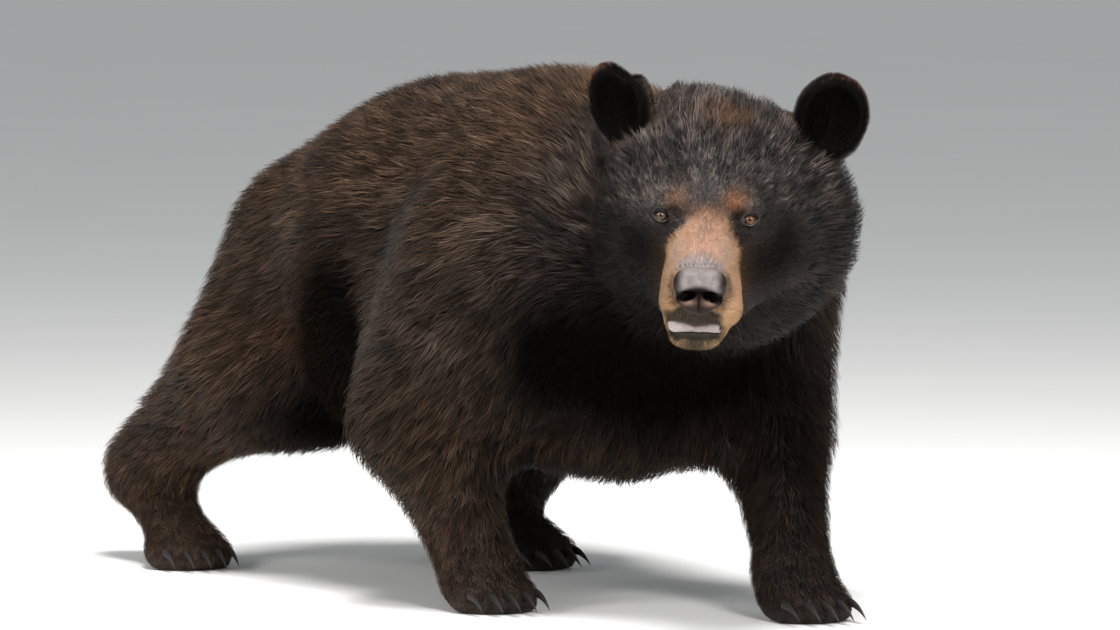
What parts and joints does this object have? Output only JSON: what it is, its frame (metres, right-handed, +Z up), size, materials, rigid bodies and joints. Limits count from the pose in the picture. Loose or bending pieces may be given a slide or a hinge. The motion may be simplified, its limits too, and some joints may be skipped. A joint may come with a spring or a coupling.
{
  "type": "American black bear, life-size still model",
  "caption": "Still, life-size black bear standing low on four feet, one hind foot trailing, head turned to its right with the mouth slightly open.",
  "frame": {"origin": "on the floor under the middle of the animal's bounding box", "axes": "the bear faces -Y and its own left side is +X; +Y runs along the body towards the rump, +Z is up"},
  "size_m": [0.6394, 1.4456, 0.7134],
  "materials": {
    "coat": "dense black-brown fur, tan on the muzzle",
    "nose_leather": "moist pebbled nose skin",
    "gum": "wet pale gum and tongue",
    "eye": "glossy dark eye with amber iris",
    "claw": "smooth dark horn"
  },
  "bodies": {
    "root": {"head": "coat", "muzzle": "coat", "lower_jaw": "coat", "neck": "coat", "trunk": "coat", "tail": "coat", "right_ear": "coat", "left_ear": "coat", "nose": "nose_leather", "tongue": "gum", "right_eye": "eye", "left_eye": "eye", "right_fore_upper_leg": "coat", "right_fore_lower_leg": "coat", "right_fore_paw": "coat", "right_fore_claw_1": "claw", "right_fore_claw_2": "claw", "right_fore_claw_3": "claw", "right_fore_claw_4": "claw", "right_fore_claw_5": "claw", "left_fore_upper_leg": "coat", "left_fore_lower_leg": "coat", "left_fore_paw": "coat", "left_fore_claw_1": "claw", "left_fore_claw_2": "claw", "left_fore_claw_3": "claw", "left_fore_claw_4": "claw", "left_fore_claw_5": "claw", "right_hind_upper_leg": "coat", "right_hind_lower_leg": "coat", "right_hind_paw": "coat", "right_hind_claw_1": "claw", "right_hind_claw_2": "claw", "right_hind_claw_3": "claw", "right_hind_claw_4": "claw", "right_hind_claw_5": "claw", "left_hind_upper_leg": "coat", "left_hind_lower_leg": "coat", "left_hind_paw": "coat", "left_hind_claw_1": "claw", "left_hind_claw_2": "claw", "left_hind_claw_3": "claw", "left_hind_claw_4": "claw", "left_hind_claw_5": "claw"}
  },
  "joints": []
}
